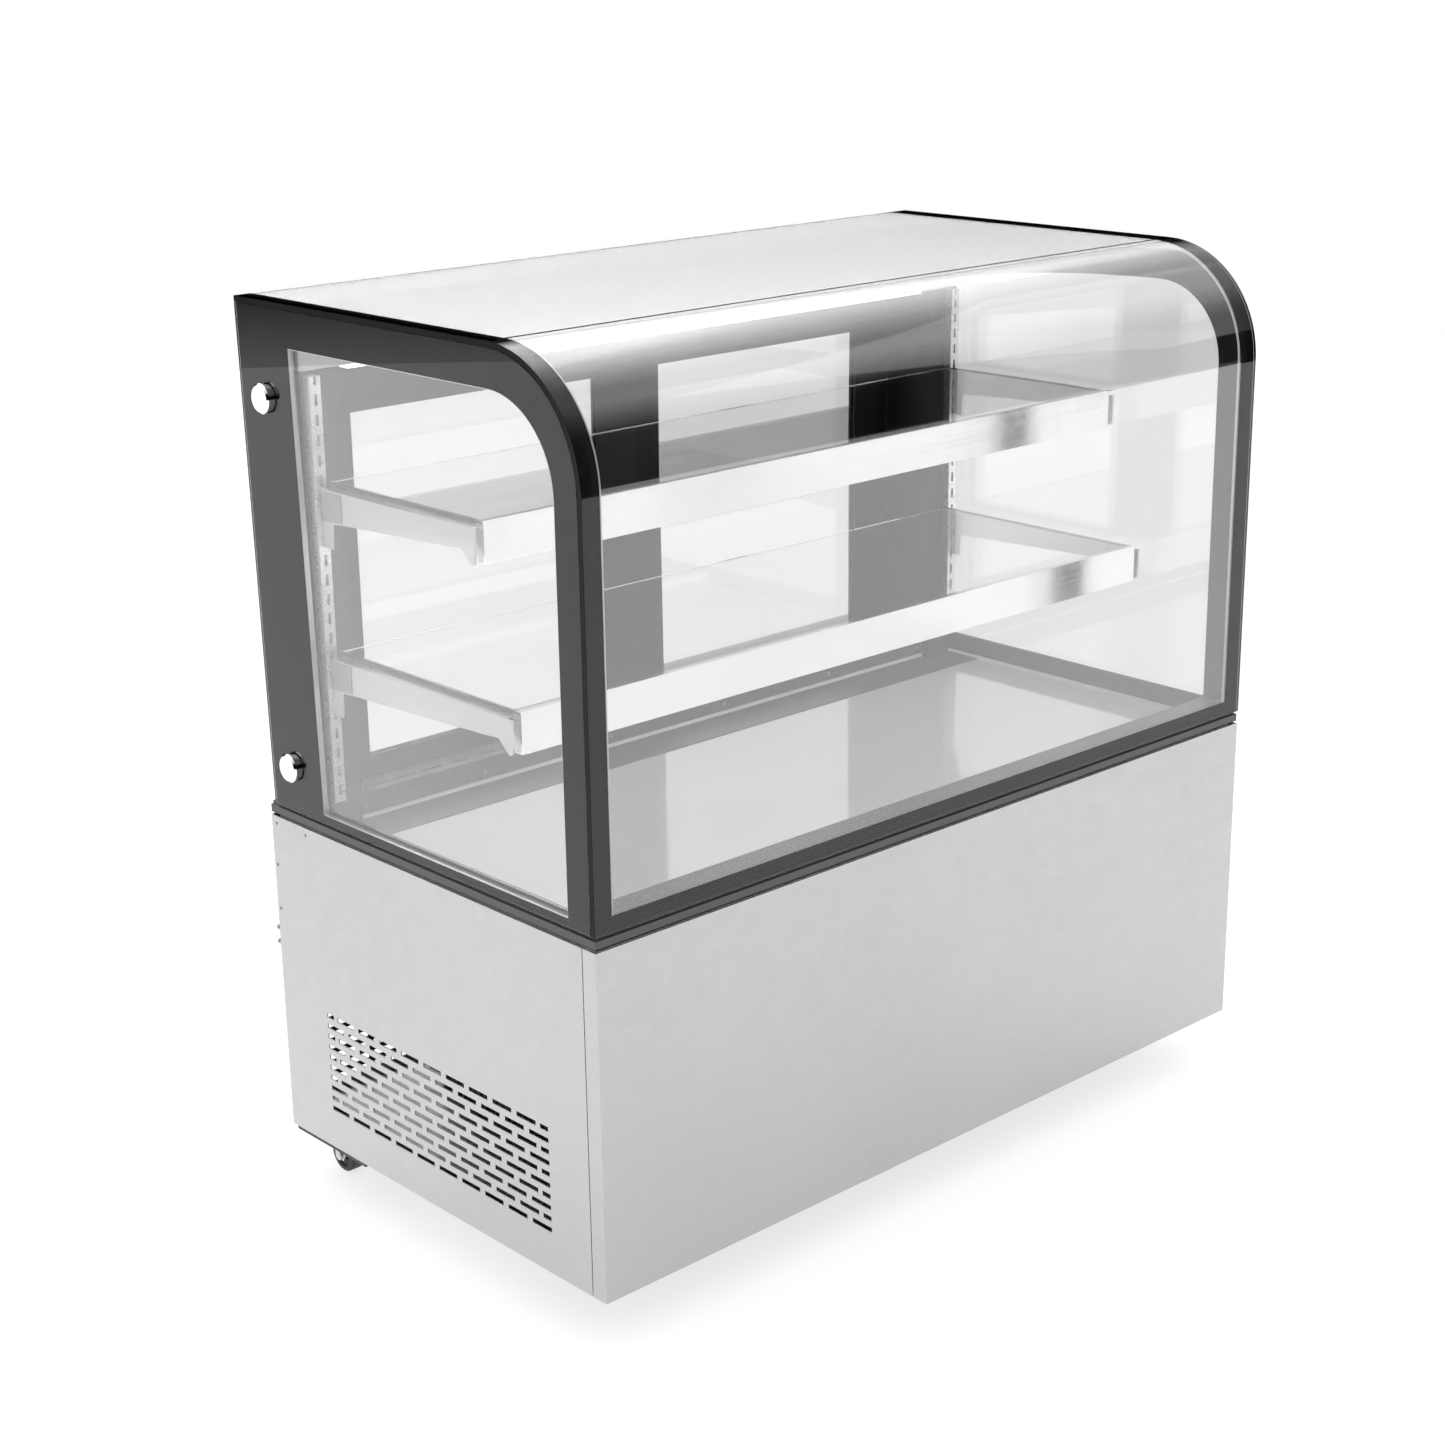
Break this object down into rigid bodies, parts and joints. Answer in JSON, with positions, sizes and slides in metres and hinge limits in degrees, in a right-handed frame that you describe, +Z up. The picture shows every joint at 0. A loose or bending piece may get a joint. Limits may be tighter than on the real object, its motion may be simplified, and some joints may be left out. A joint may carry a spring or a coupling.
{
  "type": "bakery display case",
  "caption": "Curved-glass refrigerated bakery display case with glass shelves, black-edged glass, a vented steel base, sliding rear doors and swivel casters.",
  "frame": {"origin": "on the floor under the middle of the case", "axes": "+Z up, -Y towards the customer, +X to the right of a person facing the case's front (looking along +Y)"},
  "size_m": [1.22, 0.68, 1.2],
  "materials": {
    "stainless": "fine horizontal brushing, satin",
    "polished_steel": "polished stainless sheet",
    "bright_steel": "bright zinc-plated",
    "galvanised": "dull galvanised",
    "zinc": "zinc-plated, dull",
    "black_steel": "semi-gloss black powder coat",
    "black_rail": "satin black anodised look",
    "satin_rail": "bright satin stainless",
    "dark_trim": "satin dark gray",
    "foam_skin": "matt",
    "border_black": "printed ceramic border, gloss",
    "clear_glass": "clear tempered",
    "shelf_glass": "clear tempered, polished edges",
    "spacer_aluminium": "satin",
    "door_aluminium": "satin anodised",
    "fin_aluminium": "mill finish",
    "chrome": "polished",
    "copper": "bare copper",
    "led_diffuser": "milky diffuser",
    "black_plastic": "fine texture",
    "white_plastic": "gloss",
    "green_plastic": "gloss",
    "red_plastic": "gloss",
    "wheel_rubber": "matt, slightly crowned tread"
  },
  "bodies": {
    "cabinet": {"base_frame": "black_steel", "base_tray": "galvanised", "front_panel": "stainless", "left_side_panel": "stainless", "right_side_panel": "stainless", "rear_panel": "stainless", "rear_grille": "black_steel", "top_rail": "black_rail", "insulated_base": "foam_skin", "deck_pan": "polished_steel", "deck_curbs": "dark_trim", "end_outer_glass": "clear_glass", "end_inner_glass": "clear_glass", "end_spacers": "spacer_aluminium", "front_glass": "clear_glass", "glass_borders": "border_black", "glass_caps": "chrome", "shelf_standards": "bright_steel", "rear_jambs": "door_aluminium", "rear_header": "stainless", "light_strips": "led_diffuser", "rear_riser": "dark_trim", "door_track": "door_aluminium", "upper_brackets": "bright_steel", "lower_brackets": "bright_steel", "upper_shelf_glass": "shelf_glass", "lower_shelf_glass": "shelf_glass", "upper_shelf_rail": "satin_rail", "lower_shelf_rail": "satin_rail", "compressor": "black_steel", "condenser": "fin_aluminium", "fan_shroud": "black_plastic", "evaporator": "fin_aluminium", "copper_pipes": "copper", "drip_tray": "galvanised", "controller": "black_plastic", "cable_gland": "black_plastic", "panel_screws": "zinc", "cord_hooks": "bright_steel", "caster_plates": "zinc"},
    "left_door": {"left_door_frame": "door_aluminium", "left_door_glass": "clear_glass", "left_door_handle": "black_plastic"},
    "right_door": {"right_door_frame": "door_aluminium", "right_door_glass": "clear_glass", "right_door_handle": "black_plastic"},
    "condenser_fan": {"condenser_fan": "black_plastic"},
    "evaporator_fan": {"evaporator_fan": "white_plastic"},
    "power_switch": {"power_switch": "green_plastic"},
    "light_switch": {"light_switch": "white_plastic"},
    "front_left_brake": {"front_left_brake": "red_plastic"},
    "front_right_brake": {"front_right_brake": "red_plastic"},
    "front_left_swivel": {"front_left_fork": "zinc"},
    "front_left_wheel": {"front_left_wheel": "wheel_rubber"},
    "front_right_swivel": {"front_right_fork": "zinc"},
    "front_right_wheel": {"front_right_wheel": "wheel_rubber"},
    "rear_left_swivel": {"rear_left_fork": "zinc"},
    "rear_left_wheel": {"rear_left_wheel": "wheel_rubber"},
    "rear_right_swivel": {"rear_right_fork": "zinc"},
    "rear_right_wheel": {"rear_right_wheel": "wheel_rubber"}
  },
  "joints": [
    {"name": "left_door_slide", "type": "slide", "parent": "cabinet", "child": "left_door", "axis": [1, 0, 0], "range_m": [0, 0.465]},
    {"name": "right_door_slide", "type": "slide", "parent": "cabinet", "child": "right_door", "axis": [1, 0, 0], "range_m": [-0.465, 0]},
    {"name": "front_left_swivel", "type": "hinge", "parent": "cabinet", "child": "front_left_swivel", "pos_m": [-0.5, -0.205, 0.06], "axis": [0, 0, 1], "continuous": true},
    {"name": "front_left_roll", "type": "hinge", "parent": "front_left_swivel", "child": "front_left_wheel", "pos_m": [-0.5, -0.187, 0.025], "axis": [1, 0, 0], "continuous": true},
    {"name": "front_right_swivel", "type": "hinge", "parent": "cabinet", "child": "front_right_swivel", "pos_m": [0.5, -0.205, 0.06], "axis": [0, 0, 1], "continuous": true},
    {"name": "front_right_roll", "type": "hinge", "parent": "front_right_swivel", "child": "front_right_wheel", "pos_m": [0.5, -0.187, 0.025], "axis": [1, 0, 0], "continuous": true},
    {"name": "rear_left_swivel", "type": "hinge", "parent": "cabinet", "child": "rear_left_swivel", "pos_m": [-0.54, 0.262, 0.06], "axis": [0, 0, 1], "continuous": true},
    {"name": "rear_left_roll", "type": "hinge", "parent": "rear_left_swivel", "child": "rear_left_wheel", "pos_m": [-0.54, 0.28, 0.025], "axis": [1, 0, 0], "continuous": true},
    {"name": "rear_right_swivel", "type": "hinge", "parent": "cabinet", "child": "rear_right_swivel", "pos_m": [0.54, 0.262, 0.06], "axis": [0, 0, 1], "continuous": true},
    {"name": "rear_right_roll", "type": "hinge", "parent": "rear_right_swivel", "child": "rear_right_wheel", "pos_m": [0.54, 0.28, 0.025], "axis": [1, 0, 0], "continuous": true},
    {"name": "front_left_brake_press", "type": "hinge", "parent": "front_left_swivel", "child": "front_left_brake", "pos_m": [-0.5, -0.178, 0.056], "axis": [-1, 0, 0], "range_deg": [0, 14], "stiffness_Nm_per_rad": 0.4},
    {"name": "front_right_brake_press", "type": "hinge", "parent": "front_right_swivel", "child": "front_right_brake", "pos_m": [0.5, -0.178, 0.056], "axis": [-1, 0, 0], "range_deg": [0, 14], "stiffness_Nm_per_rad": 0.4},
    {"name": "condenser_fan_spin", "type": "hinge", "parent": "cabinet", "child": "condenser_fan", "pos_m": [-0.365, 0.02, 0.242], "axis": [1, 0, 0], "continuous": true},
    {"name": "evaporator_fan_spin", "type": "hinge", "parent": "cabinet", "child": "evaporator_fan", "pos_m": [0.415, 0.234, 0.454], "axis": [1, 0, 0], "continuous": true},
    {"name": "power_switch_rock", "type": "hinge", "parent": "cabinet", "child": "power_switch", "pos_m": [0.406, 0.319, 0.454], "axis": [-1, 0, 0], "range_deg": [0, 18]},
    {"name": "light_switch_rock", "type": "hinge", "parent": "cabinet", "child": "light_switch", "pos_m": [0.428, 0.319, 0.454], "axis": [-1, 0, 0], "range_deg": [0, 18]}
  ]
}
